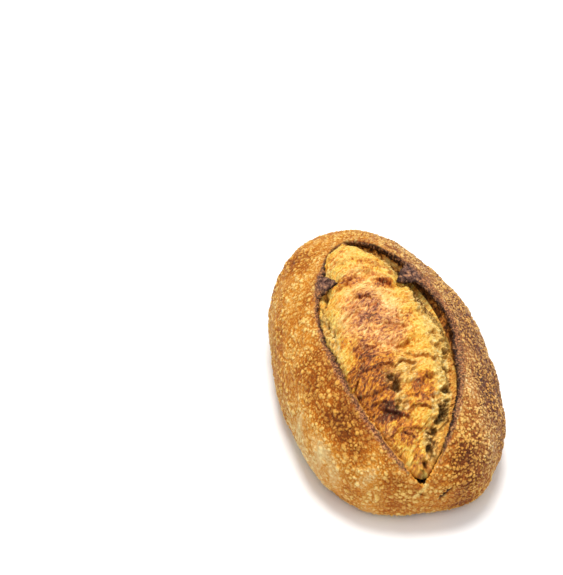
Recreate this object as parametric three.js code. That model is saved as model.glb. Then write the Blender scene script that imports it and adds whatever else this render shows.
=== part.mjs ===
// A rustic farmhouse loaf: an oval hearth loaf whose one long slash has torn open into a broad, craggy bloom
// between two lips of crust. It is one solid, built as two grids that share the crease under the lips: the
// crust, in rings from the crease over the lip and the shoulder down to the flat base, and the bloom, in rows
// across the slash. Millimetres, +Z up, the origin at the middle of the base. +X is the end where the slash
// runs down to a point, -Y is the smooth flank, and +Y is the flank whose lip stands up as an ear.
import * as THREE from "three";

// ---- Driving dimensions -------------------------------------------------------------------------------
const LENGTH = 250; // nominal length and width of the plan outline, before its unevenness
const WIDTH = 143;
const CROWN = 92; // height of the crust's dome at its middle
const EQUATOR = 0.35; // where the loaf is widest, as a share of CROWN
const BASE = 0.84; // the flat base's reach, as a share of the plan outline
const DOME_POWER = 2.15; // 2 is an ellipse; more is a flatter top with a rounder shoulder
const OUTLINE_POWER = 2.15;

// The plan outline's unevenness: cosine and sine shares of its first four waves.
const OUTLINE_WAVES = [
  [-0.012, 0.02],
  [-0.014, -0.005],
  [-0.028, 0.007],
  [-0.02, 0.006],
];

// The slash: a long leaf in plan, blunt at its far end and pointed where it runs down the near end.
const SLASH_MIDDLE = 17; // along X
const SLASH_HALF_LENGTH = 97;
const SLASH_HALF_WIDTH = 41.5;
const SLASH_NEAR_POWER = 1.28; // how sharply the leaf closes at +X
const SLASH_FAR_POWER = 1.5; // and at -X
const SLASH_AXIS = -3; // where the leaf's middle line lies along Y
const SLASH_SWING = 5; // how far that line swings to -Y at the near tip

// The lips of crust: their rise over the dome, their reach over the crease, and the crease's depth.
const LIP = { thickness: 2.4, fade: 13 };
const SMOOTH_SIDE = { rise: 2, reach: 1.4, crease: 4.5, undercut: 2 }; // -Y
const EAR_SIDE = { rise: 3.8, reach: 1.2, crease: 5, undercut: 0.8 }; // +Y
const TIP = { rise: 0.4, reach: 0, crease: 3, undercut: 0.5 };
const FAR_CORNER = { angle: 2.6, width: 0.4, crease: 5 }; // where the ear's inner wall is deepest

// Broad bulges and sharp tongues of the lip that hang over the crease: the tip's angle, its reach and lift, and
// how far the root goes on before and after that angle.
const TONGUES = [
  { angle: 2.05, reach: 7.5, lift: 1.5, before: 0.4, after: 0.2 },
  { angle: 2.094, reach: 19, lift: 3.5, before: 0.14, after: 0.08 },
  { angle: 1.2, reach: 2.6, lift: 0, before: 0.35, after: 0.35 },
  { angle: -2.25, reach: 4, lift: 0.5, before: 0.25, after: 0.35 },
  { angle: -2.18, reach: 15, lift: 6, before: 0.1, after: 0.13 },
  { angle: -1.35, reach: 1.6, lift: 0.4, before: 0.2, after: 0.2 },
];

// The bloom: the torn crumb that has swelled up between the lips.
const BLOOM_RISE = 6.5; // of its crest over the dome
const BLOOM_CREST = 0.8; // under 1 moves the crest towards -Y
const BLOOM_BANK = { smooth: 4, ear: 11, far: 14 }; // how far in its banks reach from each crease
const BLOOM_FILLS = { smooth: 0.5, near: 0.6 }; // the share of the crease that the bloom's edge fills
const NEAR_SINK = { from: 66, to: 104, depth: 4.5 }; // the bloom lies lower towards the near tip
const EDGE_FADE = 6; // the width of each edge where the relief below dies out

// Broken plates all over the bloom, which lean out over one another towards +X.
const PLATE = { length: 13, width: 18, step: 1.4, lean: 1.2 };

// Torn folds that cross the bloom: where each runs (x at y = 0, and its slant), its height and half width.
const FOLDS = [
  { x: -52, slant: 0.35, height: 1.4, width: 9, from: -30, to: 26 },
  { x: -30, slant: -0.3, height: 1.4, width: 8, from: -34, to: 10 },
  { x: 34, slant: 0.25, height: 2.2, width: 10, from: -12, to: 34 },
  { x: 66, slant: 0.1, height: 3, width: 9, from: -30, to: 12 },
];

// Torn sheets: both ends of each one's broken edge in plan, how far its middle bows to -X, the drop there,
// and the sheet's reach behind it.
const SHEETS = [
  { from: [-5, -17], to: [1, -8], bow: 1, drop: 2.4, reach: 7 },
  { from: [-19, -1], to: [-11, 10], bow: 1.5, drop: 2.4, reach: 6 },
  { from: [56, -11], to: [54, 4], bow: 3, drop: 3.4, reach: 11 },
  { from: [77, -25], to: [85, -10], bow: -0.5, drop: 2.8, reach: 8 },
  { from: [81, -8], to: [84, 6], bow: 2, drop: 2.6, reach: 7 },
];

// Hollows torn in the bloom: where each lies in plan, its radii along X and Y, and its depth.
const HOLLOWS = [
  { x: 45, y: 2, rx: 9, ry: 8, depth: 5 },
  { x: 58, y: 1, rx: 6, ry: 6, depth: 3.5 },
  { x: 64, y: 27, rx: 11, ry: 7, depth: 5 },
  { x: -10, y: 30, rx: 16, ry: 7, depth: 4 },
  { x: 96, y: 6, rx: 8, ry: 5, depth: 3.5 },
  { x: -22, y: -33, rx: 8, ry: 4, depth: 3 },
  { x: 8, y: -38, rx: 14, ry: 4, depth: 2.5 },
  { x: -27, y: 24, rx: 15, ry: 9, depth: 3 }, // under the ear's tongue
  { x: -34, y: -26, rx: 12, ry: 7, depth: 4 }, // under the smooth side's
  { x: 67, y: -13, rx: 4.6, ry: 3, depth: 6 },
  { x: 86, y: 12, rx: 4, ry: 3.5, depth: 5 },
  { x: -50, y: 20, rx: 5, ry: 3, depth: 4 },
];

// How finely the grids are cut.
const AROUND = 144; // points of each ring, twice the bloom's rows
const ACROSS = 30; // steps of the bloom from one crease to the other
const SHOULDER_RINGS = 9;
const FLANK_RINGS = 5;
const BASE_RINGS = 2;

// ---- Small tools --------------------------------------------------------------------------------------
const mix = (a, b, t) => a + (b - a) * t;
const clamp01 = (t) => Math.min(1, Math.max(0, t));
const smooth = (t) => t * t * (3 - 2 * t);
const ramp = (value, low, high) => smooth(clamp01((value - low) / (high - low)));
const turnFrom = (angle, place) => Math.atan2(Math.sin(angle - place), Math.cos(angle - place));

// A fixed pseudo-random number from -1 to 1 for each point of a lattice.
function latticeValue(i, j, k, seed) {
  let h = Math.imul(i, 0x27d4eb2d) ^ Math.imul(j, 0x165667b1);
  h ^= Math.imul(k, 0x9e3779b1) ^ Math.imul(seed, 0x85ebca6b);
  h = Math.imul(h ^ (h >>> 15), 0x2c1b3c6d);
  h = Math.imul(h ^ (h >>> 12), 0x297a2d39);
  h ^= h >>> 15;
  return ((h >>> 0) / 4294967296) * 2 - 1;
}

// Smooth noise from -1 to 1, blended from the eight lattice points round a place.
function noise(x, y, z, seed) {
  const cell = [x, y, z].map(Math.floor);
  const [u, v, w] = [x, y, z].map((c, n) => smooth(c - cell[n]));
  const [i, j, k] = cell;
  const row = (dj, dk) =>
    mix(
      latticeValue(i, j + dj, k + dk, seed),
      latticeValue(i + 1, j + dj, k + dk, seed),
      u,
    );
  return mix(mix(row(0, 0), row(1, 0), v), mix(row(0, 1), row(1, 1), v), w);
}

// For points scattered one to a cell: how far past the nearest one a place lies along X, and that one's own
// value from 0 to 1.
function nearestCell(x, y, seed) {
  const [i, j] = [Math.floor(x), Math.floor(y)];
  let nearest = { away: Infinity };
  for (let p = i - 1; p <= i + 1; p++) {
    for (let q = j - 1; q <= j + 1; q++) {
      const px = p + 0.5 + 0.42 * latticeValue(p, q, 0, seed);
      const py = q + 0.5 + 0.42 * latticeValue(p, q, 0, seed + 1);
      const away = Math.hypot(x - px, y - py);
      const own = 0.5 + 0.5 * latticeValue(p, q, 0, seed + 2);
      if (away < nearest.away) nearest = { away, past: x - px, own };
    }
  }
  return nearest;
}

// ---- The body -----------------------------------------------------------------------------------------
// The outline's reach at an angle of the plan ellipse, as a share of that ellipse.
function outlineReach(angle) {
  const full =
    (Math.abs(Math.cos(angle)) ** OUTLINE_POWER +
      Math.abs(Math.sin(angle)) ** OUTLINE_POWER) **
    (-1 / OUTLINE_POWER);
  const waves = OUTLINE_WAVES.reduce(
    (sum, [c, s], n) =>
      sum + c * Math.cos((n + 1) * angle) + s * Math.sin((n + 1) * angle),
    1,
  );
  return full * waves;
}

function outlinePoint(angle) {
  const reach = outlineReach(angle);
  return new THREE.Vector2(
    (LENGTH / 2) * reach * Math.cos(angle),
    (WIDTH / 2) * reach * Math.sin(angle),
  );
}

// Height of the dome over a place in plan.
function domeHeight(x, y) {
  const across = y / (WIDTH / 2);
  const along = x / (LENGTH / 2);
  const share = Math.hypot(along, across) / outlineReach(Math.atan2(across, along));
  const rise = Math.max(0, 1 - share ** DOME_POWER) ** (1 / DOME_POWER);
  return CROWN * mix(EQUATOR, 1, rise);
}

// A place at an offset from the dome, along the dome's normal.
function onDome(x, y, offset) {
  const step = 0.5;
  const slopeX = (domeHeight(x + step, y) - domeHeight(x - step, y)) / (2 * step);
  const slopeY = (domeHeight(x, y + step) - domeHeight(x, y - step)) / (2 * step);
  const normal = new THREE.Vector3(-slopeX, -slopeY, 1).normalize();
  return new THREE.Vector3(x, y, domeHeight(x, y)).addScaledVector(normal, offset);
}

// ---- The slash ----------------------------------------------------------------------------------------
function slashAxis(x) {
  const share = Math.max(0, x - SLASH_MIDDLE) / SLASH_HALF_LENGTH;
  return SLASH_AXIS - SLASH_SWING * share ** 2;
}

// The slash's edge at an angle: 0 is the near tip, a quarter turn is the ear's side.
function slashEdge(angle) {
  const x = SLASH_MIDDLE + SLASH_HALF_LENGTH * Math.cos(angle);
  const power = mix(SLASH_FAR_POWER, SLASH_NEAR_POWER, 0.5 + 0.5 * Math.cos(angle));
  const half = SLASH_HALF_WIDTH * Math.abs(Math.sin(angle)) ** power;
  return new THREE.Vector2(x, slashAxis(x) + Math.sign(Math.sin(angle)) * half);
}

// A lip's measure at an angle, between its value at the tips and on that side.
function lipMeasure(name, angle) {
  const side = Math.sin(angle) > 0 ? EAR_SIDE : SMOOTH_SIDE;
  return mix(TIP[name], side[name], Math.abs(Math.sin(angle)) ** 0.7);
}

// ---- The crust's rings --------------------------------------------------------------------------------
const LIP_OUT = 3; // how far out from the slash's edge the lip's rings end and the shoulder's begin

// The share of the lip's width that there is room for. The crust runs narrow beyond the near tip.
const room = (span) => Math.min(1, span / LIP_OUT / 2);

// Each ring is a function of the angle that gives a point.
function lipRing(out, offset) {
  return (angle) => {
    const edge = slashEdge(angle);
    const outward = outlinePoint(angle).sub(edge);
    const span = outward.length();
    const place = edge.addScaledVector(outward.normalize(), out(angle) * room(span));
    return onDome(place.x, place.y, offset(angle));
  };
}

const rise = (angle) => lipMeasure("rise", angle);
const undercut = (angle) => lipMeasure("undercut", angle);

function crease(angle) {
  const past = turnFrom(angle, FAR_CORNER.angle) / FAR_CORNER.width;
  return lipMeasure("crease", angle) + FAR_CORNER.crease * Math.exp(-(past ** 2));
}

// How much the tongues add to a measure of the lip, by the name of their own measure.
function tongues(name, angle) {
  return TONGUES.reduce((sum, tongue) => {
    const turn = turnFrom(angle, tongue.angle);
    const root = turn < 0 ? tongue.before : tongue.after;
    return sum + tongue[name] * Math.max(0, 1 - Math.abs(turn) / root);
  }, 0);
}

const reach = (angle) => lipMeasure("reach", angle) + tongues("reach", angle);
const lift = (angle) => tongues("lift", angle);

const LIP_RINGS = [
  lipRing((a) => undercut(a), (a) => -crease(a)),
  lipRing((a) => undercut(a) * 0.9, (a) => -crease(a) * 0.5),
  lipRing((a) => 0.8 - reach(a) * 0.3, (a) => rise(a) - LIP.thickness * 1.5),
  lipRing((a) => -reach(a), (a) => rise(a) - LIP.thickness * 0.7 + lift(a)),
  lipRing((a) => 0.5 - reach(a), (a) => rise(a) - LIP.thickness * 0.1 + lift(a)),
  lipRing((a) => 2 - reach(a) * 0.5, (a) => rise(a) + lift(a) * 0.5),
];
// From the lip over the shoulder to the equator. Steps close up where the dome turns down.
function shoulderRing(share) {
  return (angle) => {
    const edge = slashEdge(angle);
    const outline = outlinePoint(angle);
    const span = edge.distanceTo(outline);
    const start = (LIP_OUT * room(span)) / span;
    const place = edge.clone().lerp(outline, mix(start, 1, Math.sin((share * Math.PI) / 2)));
    const faded = Math.exp(-((edge.distanceTo(place) / LIP.fade) ** 2));
    const stay = Math.min(1, (1 - share) * 3);
    return onDome(place.x, place.y, rise(angle) * faded * stay);
  };
}

// From the equator down and under to the base's edge.
function flankRing(share) {
  return (angle) => {
    const turn = (share * Math.PI) / 2;
    const place = outlinePoint(angle).multiplyScalar(mix(BASE, 1, Math.cos(turn)));
    return new THREE.Vector3(place.x, place.y, CROWN * EQUATOR * (1 - Math.sin(turn)));
  };
}

function baseRing(share) {
  return (angle) => {
    const place = outlinePoint(angle).multiplyScalar(BASE * share);
    return new THREE.Vector3(place.x, place.y, 0);
  };
}

function crustRings() {
  const rings = [...LIP_RINGS];
  for (let n = 0; n < SHOULDER_RINGS; n++) rings.push(shoulderRing(n / SHOULDER_RINGS));
  for (let n = 0; n <= FLANK_RINGS; n++) rings.push(flankRing(n / FLANK_RINGS));
  for (let n = BASE_RINGS - 1; n > 0; n--) rings.push(baseRing(n / BASE_RINGS));
  return rings;
}

// ---- The bloom ----------------------------------------------------------------------------------------
function bloomOffset(angle, x, share, width) {
  const fromSmooth = share * width;
  const fromEar = (1 - share) * width;
  const smoothBank = Math.exp(-((fromSmooth / BLOOM_BANK.smooth) ** 1.3)) * (1 - share);
  const bank = mix(BLOOM_BANK.ear, BLOOM_BANK.far, ramp(x, -10, -40));
  const earBank = Math.exp(-((fromEar / bank) ** 1.6)) * share;
  const smoothDepth = crease(-angle) * (1 - BLOOM_FILLS.smooth);
  const earDepth = crease(angle) * (1 - BLOOM_FILLS.near * ramp(x, 40, 90));
  const swell = Math.sin(Math.PI * share ** BLOOM_CREST) * Math.sin(angle) ** 0.7;
  const sink = NEAR_SINK.depth * ramp(x, NEAR_SINK.from, NEAR_SINK.to) * clamp01(4 * share * (1 - share));
  return BLOOM_RISE * swell - smoothDepth * smoothBank - earDepth * earBank - sink;
}

function plateLift(x, y) {
  const bend = 4 * noise(x / 12, y / 12, 0.5, 13);
  const plate = nearestCell((x + bend) / PLATE.length, (y - bend) / PLATE.width, 15);
  return PLATE.step * (plate.own - 0.5) + PLATE.lean * plate.past;
}

function foldLift(x, y) {
  const wander = 4 * noise(x / 14, y / 14, 0.5, 11);
  return FOLDS.reduce((sum, fold) => {
    const past = (x - fold.x - fold.slant * y + wander) / fold.width;
    const lengthwise = ramp(y - fold.from, 0, 8) * ramp(fold.to - y, 0, 8);
    const steep = past > 0 ? 3.2 : 0.9; // the side towards the near tip drops off sharply
    return sum + fold.height * lengthwise * Math.exp(-((past * steep) ** 2));
  }, 0);
}

function sheetLift(x, y) {
  return SHEETS.reduce((sum, { from, to, bow, drop, reach: behind }) => {
    const [dx, dy] = [to[0] - from[0], to[1] - from[1]];
    const length = Math.hypot(dx, dy);
    const along = (((x - from[0]) * dx + (y - from[1]) * dy) / length ** 2) * 2 - 1;
    const past = ((x - from[0]) * dy - (y - from[1]) * dx) / length + bow * (1 - along ** 2);
    const ends = ramp(Math.abs(along), 1.3, 0.8);
    return sum + drop * ends * Math.exp(-((Math.min(past, 0) / behind) ** 2)) * ramp(past, 0.8, -0.3);
  }, 0);
}

function hollowDepth(x, y) {
  return HOLLOWS.reduce((sum, hollow) => {
    const away = Math.hypot((x - hollow.x) / hollow.rx, (y - hollow.y) / hollow.ry);
    return sum + hollow.depth * Math.exp(-(away ** 2.5));
  }, 0);
}

// How far the bloom's relief lifts or sinks it at a place.
function bloomRelief(x, y) {
  const uneven = 1.2 * noise(x / 13, y / 20, 0.5, 3) + 0.8 * noise(x / 6, y / 10, 0.5, 5);
  return plateLift(x, y) + foldLift(x, y) + sheetLift(x, y) - hollowDepth(x, y) + uneven;
}

function bloomPoint(angle, share, ear, smoothSide) {
  const x = mix(smoothSide.x, ear.x, share);
  const y = mix(smoothSide.y, ear.y, share);
  const width = Math.hypot(ear.x - smoothSide.x, ear.y - smoothSide.y);
  const fade = Math.min(1, (4 * width * share * (1 - share)) / EDGE_FADE);
  const offset = bloomOffset(angle, x, share, width) + fade * bloomRelief(x, y);
  return onDome(x, y, offset);
}

// ---- The solid ----------------------------------------------------------------------------------------
function buildLoaf() {
  const points = [];
  const faces = [];
  const rings = crustRings();
  for (const ring of rings) {
    for (let n = 0; n < AROUND; n++) points.push(ring((2 * Math.PI * n) / AROUND));
  }
  const quad = (a, b, c, d) => faces.push(a, b, c, a, c, d);

  for (let r = 0; r < rings.length - 1; r++) {
    for (let n = 0; n < AROUND; n++) {
      const next = (n + 1) % AROUND;
      quad(r * AROUND + n, (r + 1) * AROUND + n, (r + 1) * AROUND + next, r * AROUND + next);
    }
  }
  const lastRing = (rings.length - 1) * AROUND;
  const baseMiddle = points.push(new THREE.Vector3(0, 0, 0)) - 1;
  for (let n = 0; n < AROUND; n++) faces.push(lastRing + n, baseMiddle, lastRing + ((n + 1) % AROUND));

  // The bloom's rows run from the -Y crease to the +Y crease. Both tips are single points of the first ring.
  const rows = AROUND / 2;
  const row = (n) => {
    if (n === 0 || n === rows) return Array(ACROSS + 1).fill(n === 0 ? 0 : rows);
    const inner = [];
    const angle = (2 * Math.PI * n) / AROUND;
    for (let c = 1; c < ACROSS; c++) {
      inner.push(points.push(bloomPoint(angle, c / ACROSS, points[n], points[AROUND - n])) - 1);
    }
    return [AROUND - n, ...inner, n];
  };
  let last = row(0);
  for (let n = 1; n <= rows; n++) {
    const next = row(n);
    for (let c = 0; c < ACROSS; c++) {
      if (n > 1) faces.push(last[c], last[c + 1], next[c]);
      if (n < rows) faces.push(last[c + 1], next[c + 1], next[c]);
    }
    last = next;
  }

  const geometry = new THREE.BufferGeometry().setFromPoints(points);
  geometry.setIndex(faces);
  geometry.computeVertexNormals();
  return geometry;
}

// Gentle swells of the crust, which fade out at the lip and at the base.
function swellCrust(geometry) {
  const place = geometry.getAttribute("position");
  const normal = geometry.getAttribute("normal");
  const point = new THREE.Vector3();
  const direction = new THREE.Vector3();
  const crustEnd = crustRings().length * AROUND;
  const shoulderStart = LIP_RINGS.length * AROUND;
  for (let n = shoulderStart; n < crustEnd; n++) {
    point.fromBufferAttribute(place, n);
    direction.fromBufferAttribute(normal, n);
    const ringsOut = Math.floor((n - shoulderStart) / AROUND) / 3;
    const weight = Math.min(1, ringsOut) * clamp01(point.z / 14);
    const swell =
      1.9 * noise(point.x / 34, point.y / 34, point.z / 34, 21) +
      0.8 * noise(point.x / 13, point.y / 13, point.z / 13, 22);
    point.addScaledVector(direction, swell * weight);
    place.setXYZ(n, point.x, point.y, point.z);
  }
}

const crustMaterial = new THREE.MeshStandardMaterial({ color: 0xa8642a, roughness: 0.8, metalness: 0 });
const geometry = buildLoaf();
swellCrust(geometry);
geometry.computeBoundingBox();
const middle = geometry.boundingBox.getCenter(new THREE.Vector3());
geometry.translate(-middle.x, -middle.y, -geometry.boundingBox.min.z);

const loaf = new THREE.Mesh(geometry, crustMaterial);
loaf.name = "loaf";

const group = new THREE.Group();
group.add(loaf);
export default group;
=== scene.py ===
"""Looks of a rustic farmhouse loaf: its blistered crust, and the torn bloom between the crust's two lips.

Both pieces start from the form of the CAD solid, cut much more finely, and get their relief and colours here.
Lengths are millimetres until a mesh is made. +X is the end where the slash runs down to a point, -Y is the
smooth flank, and +Y is the flank whose lip stands up as an ear.
"""

import math

import bpy
import numpy as np
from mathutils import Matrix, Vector


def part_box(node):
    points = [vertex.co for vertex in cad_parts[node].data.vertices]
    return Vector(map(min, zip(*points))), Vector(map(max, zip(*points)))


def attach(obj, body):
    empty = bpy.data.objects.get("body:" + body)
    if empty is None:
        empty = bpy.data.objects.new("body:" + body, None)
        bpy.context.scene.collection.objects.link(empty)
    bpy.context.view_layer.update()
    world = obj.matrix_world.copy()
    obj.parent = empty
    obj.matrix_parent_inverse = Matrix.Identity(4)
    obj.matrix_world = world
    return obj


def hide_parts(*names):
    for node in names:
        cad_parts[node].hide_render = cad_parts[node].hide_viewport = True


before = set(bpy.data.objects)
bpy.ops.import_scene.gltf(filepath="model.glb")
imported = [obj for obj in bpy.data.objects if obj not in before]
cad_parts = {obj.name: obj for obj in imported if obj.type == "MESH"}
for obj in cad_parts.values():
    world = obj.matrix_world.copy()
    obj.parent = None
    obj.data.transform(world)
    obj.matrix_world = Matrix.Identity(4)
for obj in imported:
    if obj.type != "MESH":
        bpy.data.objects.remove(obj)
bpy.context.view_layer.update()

MM = 0.001  # millimetres to metres

# ---- Form, as in the CAD source ----
LENGTH = 250
WIDTH = 143
CROWN = 92
EQUATOR = 0.35
BASE = 0.84
DOME_POWER = 2.15
OUTLINE_POWER = 2.15
OUTLINE_WAVES = [(-0.012, 0.02), (-0.014, -0.005), (-0.028, 0.007), (-0.02, 0.006)]

SLASH_MIDDLE = 17
SLASH_HALF_LENGTH = 97
SLASH_HALF_WIDTH = 41.5
SLASH_NEAR_POWER = 1.28
SLASH_FAR_POWER = 1.5
SLASH_AXIS = -3
SLASH_SWING = 5

LIP_THICKNESS = 2.4
LIP_FADE = 13
LIP_OUT = 3
SMOOTH_SIDE = {"rise": 2, "reach": 1.4, "crease": 4.5, "undercut": 2}
EAR_SIDE = {"rise": 3.8, "reach": 1.2, "crease": 5, "undercut": 0.8}
TIP = {"rise": 0.4, "reach": 0, "crease": 3, "undercut": 0.5}
FAR_CORNER = {"angle": 2.6, "width": 0.4, "crease": 5}  # where the ear's inner wall is deepest
# The lip's bulges and tongues: the tip's angle, its reach and lift, and the root's width before and after it.
TONGUES = [
    (2.05, 7.5, 1.5, 0.4, 0.2), (2.094, 19, 3.5, 0.14, 0.08), (1.2, 2.6, 0, 0.35, 0.35),
    (-2.25, 4, 0.5, 0.25, 0.35), (-2.18, 15, 6, 0.1, 0.13), (-1.35, 1.6, 0.4, 0.2, 0.2),
]

BLOOM_RISE = 6.5
BLOOM_CREST = 0.8
BLOOM_BANK = {"smooth": 4, "ear": 11, "far": 14}
BLOOM_FILLS = {"smooth": 0.5, "near": 0.6}  # the share of the crease that the bloom's edge fills
NEAR_SINK = {"from": 66, "to": 104, "depth": 4.5}  # the bloom lies lower towards the near tip

FOLDS = [  # x, slant, height, width, where along Y it starts and ends
    (-52, 0.35, 1.4, 9, -30, 26), (-30, -0.3, 1.4, 8, -34, 10),
    (34, 0.25, 2.2, 10, -12, 34), (66, 0.1, 3.0, 9, -30, 12),
]
HOLLOWS = [  # broad sunken places of the bloom: x, y, radii along X and Y, depth
    (45, 2, 9, 8, 5), (58, 1, 6, 6, 3.5), (64, 27, 11, 7, 5), (-10, 30, 16, 7, 4), (96, 6, 8, 5, 3.5),
    (-22, -33, 8, 4, 3), (8, -38, 14, 4, 2.5), (-27, 24, 15, 9, 3), (-34, -26, 12, 7, 4),
]

PLATE = {"length": 13, "width": 18, "step": 1.4, "lean": 1.2}  # broken plates all over the bloom

SHOULDER_RINGS = 9  # from the lip down to the equator
SIDE_RINGS = 6  # from the equator down to the base
BASE_RINGS = (0.5, 0.05)  # shares of the base's outline

# ---- How finely the pieces are cut ----
AROUND = 760  # points of each of the crust's rings
LIP_STEPS = [1, 2, 3, 4, 3, 6, 5, 4]
RING_STEPS = LIP_STEPS + [6] * (SHOULDER_RINGS - 1) + [7] * (SIDE_RINGS - 1) + [5, 3]  # cuts between rings
BLOOM_ROWS = 500
BLOOM_COLUMNS = 190

# ---- Camera ----
VIEW_AZIMUTH = 75.1
VIEW_ELEVATION = 42
VIEW_DISTANCE = 1122.6
VIEW_FIELD = 22  # degrees over the picture's height
VIEW_TARGET = (-127.4, -35, 0)  # the point of the table at the picture's middle


# ---- Small tools ----
def mix(a, b, t):
    return a + (b - a) * t


def clamp01(t):
    return np.clip(t, 0, 1)


def smooth(t):
    return t * t * (3 - 2 * t)


def ramp(value, low, high):
    """0 below low, 1 above high, smooth between. low may be the larger."""
    return smooth(clamp01((value - low) / (high - low)))


def lattice_value(i, j, k, seed):
    """A fixed pseudo-random number from -1 to 1 for each point of a lattice, the same as the CAD source's."""
    i, j, k = (c.astype(np.int64).astype(np.uint32) for c in (i, j, k))
    h = (i * np.uint32(0x27D4EB2D)) ^ (j * np.uint32(0x165667B1)) ^ (k * np.uint32(0x9E3779B1))
    h = h ^ np.uint32((seed * 0x85EBCA6B) & 0xFFFFFFFF)
    h = (h ^ (h >> np.uint32(15))) * np.uint32(0x2C1B3C6D)
    h = (h ^ (h >> np.uint32(12))) * np.uint32(0x297A2D39)
    h = h ^ (h >> np.uint32(15))
    return h / 4294967296 * 2 - 1


def noise(x, y, z, seed):
    """Smooth noise from -1 to 1, blended from the eight lattice points round a place."""
    x, y, z = np.broadcast_arrays(x, y, z)
    i, j, k = (np.floor(c) for c in (x, y, z))
    u, v, w = (smooth(c - cell) for c, cell in ((x, i), (y, j), (z, k)))

    def row(dj, dk):
        return mix(lattice_value(i, j + dj, k + dk, seed), lattice_value(i + 1, j + dj, k + dk, seed), u)

    return mix(mix(row(0, 0), row(1, 0), v), mix(row(0, 1), row(1, 1), v), w)


def layered(place, layers):
    """The sum of several noises at a place of two or three coordinates. A layer gives its amount, its size,
    which may differ along each axis, and its seed."""
    total = 0
    for amount, size, seed in layers:
        sizes = np.broadcast_to(size, len(place))
        scaled = [c / s for c, s in zip(place, sizes)] + [0.5] * (3 - len(place))
        total = total + amount * noise(*scaled, seed)
    return total


def cells(x, y, seed):
    """For points scattered one to a cell: the distances to the nearest and the second nearest, how far past
    the nearest one a place lies along X, and that one's own value from 0 to 1."""
    i, j = np.floor(x), np.floor(y)
    nearest, second = np.full(x.shape, 9.0), np.full(x.shape, 9.0)
    past, value, level = np.zeros(x.shape), np.zeros(x.shape), np.zeros(x.shape)
    for di in (-1, 0, 1):
        for dj in (-1, 0, 1):
            px = i + di + 0.5 + 0.42 * lattice_value(i + di, j + dj, level, seed)
            py = j + dj + 0.5 + 0.42 * lattice_value(i + di, j + dj, level, seed + 1)
            away = np.hypot(x - px, y - py)
            closer = away < nearest
            second = np.where(closer, nearest, np.minimum(second, away))
            past = np.where(closer, x - px, past)
            value = np.where(closer, 0.5 + 0.5 * lattice_value(i + di, j + dj, level, seed + 2), value)
            nearest = np.where(closer, away, nearest)
    return nearest, second, past, value


# ---- The body ----
def outline_reach(angle):
    powers = np.abs(np.cos(angle)) ** OUTLINE_POWER + np.abs(np.sin(angle)) ** OUTLINE_POWER
    waves = 1
    for n, (c, s) in enumerate(OUTLINE_WAVES, 1):
        waves = waves + c * np.cos(n * angle) + s * np.sin(n * angle)
    return powers ** (-1 / OUTLINE_POWER) * waves


def outline_point(angle):
    reach = outline_reach(angle)
    return np.stack([LENGTH / 2 * reach * np.cos(angle), WIDTH / 2 * reach * np.sin(angle)], -1)


def dome_height(x, y):
    across, along = y / (WIDTH / 2), x / (LENGTH / 2)
    share = np.hypot(along, across) / outline_reach(np.arctan2(across, along))
    rise = np.maximum(0, 1 - share**DOME_POWER) ** (1 / DOME_POWER)
    return CROWN * mix(EQUATOR, 1, rise)


def on_dome(place, offset):
    """Places in plan at an offset from the dome, along the dome's normal."""
    step = 0.5
    x, y = place[..., 0], place[..., 1]
    slope_x = (dome_height(x + step, y) - dome_height(x - step, y)) / (2 * step)
    slope_y = (dome_height(x, y + step) - dome_height(x, y - step)) / (2 * step)
    normal = np.stack([-slope_x, -slope_y, np.ones_like(x)], -1)
    normal /= np.linalg.norm(normal, axis=-1, keepdims=True)
    return np.stack([x, y, dome_height(x, y)], -1) + normal * np.asarray(offset)[..., None]


# ---- The slash ----
def slash_axis(x):
    return SLASH_AXIS - SLASH_SWING * (np.maximum(0, x - SLASH_MIDDLE) / SLASH_HALF_LENGTH) ** 2


def slash_edge(angle):
    x = SLASH_MIDDLE + SLASH_HALF_LENGTH * np.cos(angle)
    power = mix(SLASH_FAR_POWER, SLASH_NEAR_POWER, 0.5 + 0.5 * np.cos(angle))
    half = SLASH_HALF_WIDTH * np.abs(np.sin(angle)) ** power
    return np.stack([x, slash_axis(x) + np.sign(np.sin(angle)) * half], -1)


def turn_from(angle, place):
    return np.arctan2(np.sin(angle - place), np.cos(angle - place))


def lip_measure(name, angle):
    side = np.where(np.sin(angle) > 0, EAR_SIDE[name], SMOOTH_SIDE[name])
    measure = mix(TIP[name], side, np.abs(np.sin(angle)) ** 0.7)
    if name == "crease":
        past = turn_from(angle, FAR_CORNER["angle"]) / FAR_CORNER["width"]
        measure = measure + FAR_CORNER["crease"] * np.exp(-(past**2))
    return measure


def tongues(angle):
    """How much further the lip's tongues reach than the rest of it, and how much higher they stand."""
    reach, lift = np.zeros(len(angle)), np.zeros(len(angle))
    for place, tip_reach, tip_lift, before, after in TONGUES:
        turn = turn_from(angle, place)
        share = np.maximum(0, 1 - np.abs(turn) / np.where(turn < 0, before, after))
        reach, lift = reach + tip_reach * share, lift + tip_lift * share
    return reach, lift


JAGS = [(0.9, 5, 41), (0.7, 1.9, 42)]  # the lips' small torn jags, as layers of noise


def lip_reach(angle):
    """How far the lip hangs over the crease, with its small torn jags."""
    jags = layered(np.moveaxis(slash_edge(angle), -1, 0), JAGS)
    return lip_measure("reach", angle) + tongues(angle)[0] + jags * np.abs(np.sin(angle)) ** 0.5


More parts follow.
